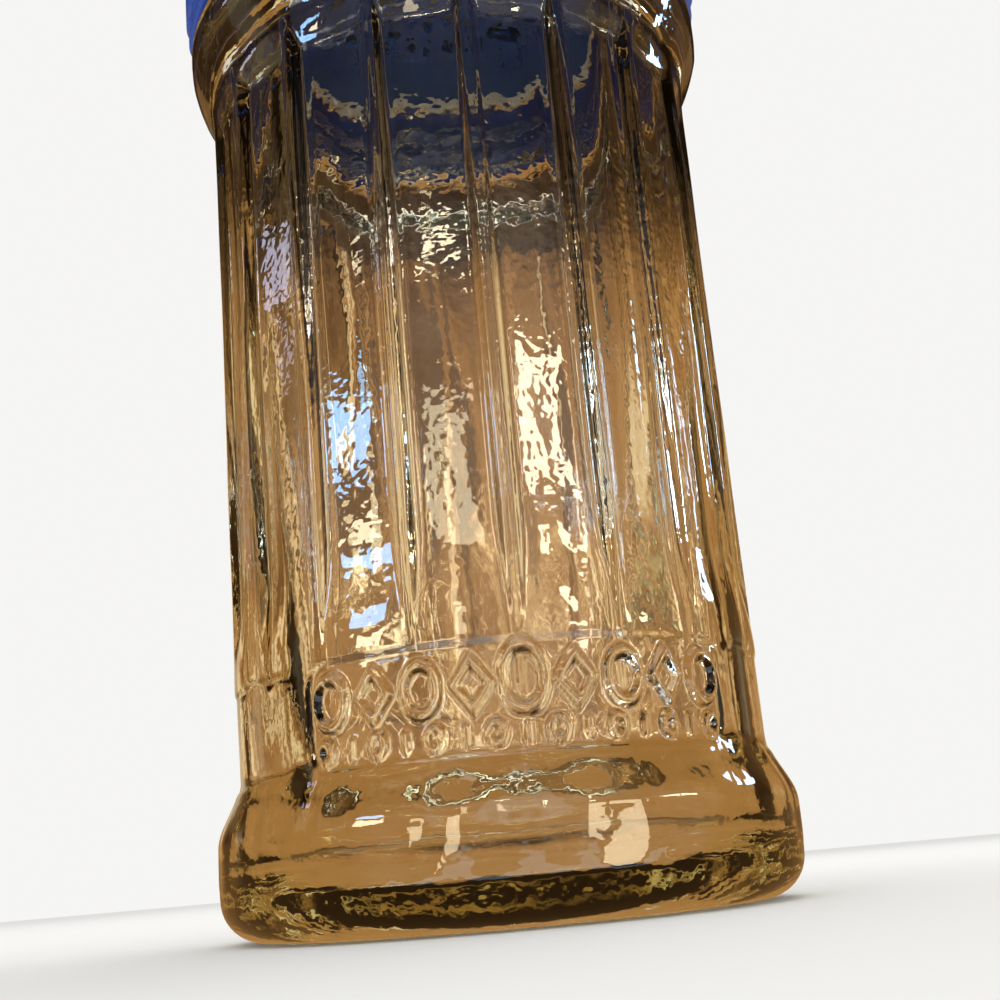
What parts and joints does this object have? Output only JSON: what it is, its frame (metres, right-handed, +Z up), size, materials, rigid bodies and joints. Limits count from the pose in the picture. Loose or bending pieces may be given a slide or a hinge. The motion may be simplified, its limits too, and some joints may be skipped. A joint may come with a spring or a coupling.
{
  "type": "glass shaker",
  "caption": "Round moulded glass shaker with vertical ribs and a heavy base, a blue screw cap with a sifter disc under it, and a hinged pour lid.",
  "frame": {"origin": "centre of the jar's base, on the surface it stands on", "axes": "+Z up along the jar's axis, -Y towards the front with the lid's thumb tab, +Y towards the lid's hinge"},
  "size_m": [0.0772, 0.0772, 0.1526],
  "materials": {
    "clear_glass": "gloss",
    "cap_blue": "satin",
    "lid_blue": "satin",
    "sifter_blue": "satin",
    "seal_white": "matte",
    "lid_seal_white": "matte",
    "pin_steel": "brushed"
  },
  "bodies": {
    "jar": {"glass_jar": "clear_glass"},
    "sifter": {"sifter_disc": "sifter_blue", "seal_ring": "seal_white"},
    "cap": {"screw_cap": "cap_blue", "hinge_pin": "pin_steel"},
    "lid": {"flip_lid": "lid_blue", "lid_seal": "lid_seal_white"}
  },
  "joints": [
    {"name": "cap_lift", "type": "slide", "parent": "jar", "child": "sifter", "axis": [0, 0, 1], "range_m": [0, 0.01694]},
    {"name": "cap_turn", "type": "hinge", "parent": "sifter", "child": "cap", "pos_m": [0, 0, 0.1274], "axis": [0, 0, 1], "range_deg": [0, 1440]},
    {"name": "lid_hinge", "type": "hinge", "parent": "cap", "child": "lid", "pos_m": [0, 0.03455, 0.148], "axis": [-1, 0, 0], "range_deg": [0, 140]}
  ],
  "couplings": [
    {"joint": "cap_lift", "follows": "cap_turn", "m_per_rad": 0.0006737}
  ]
}
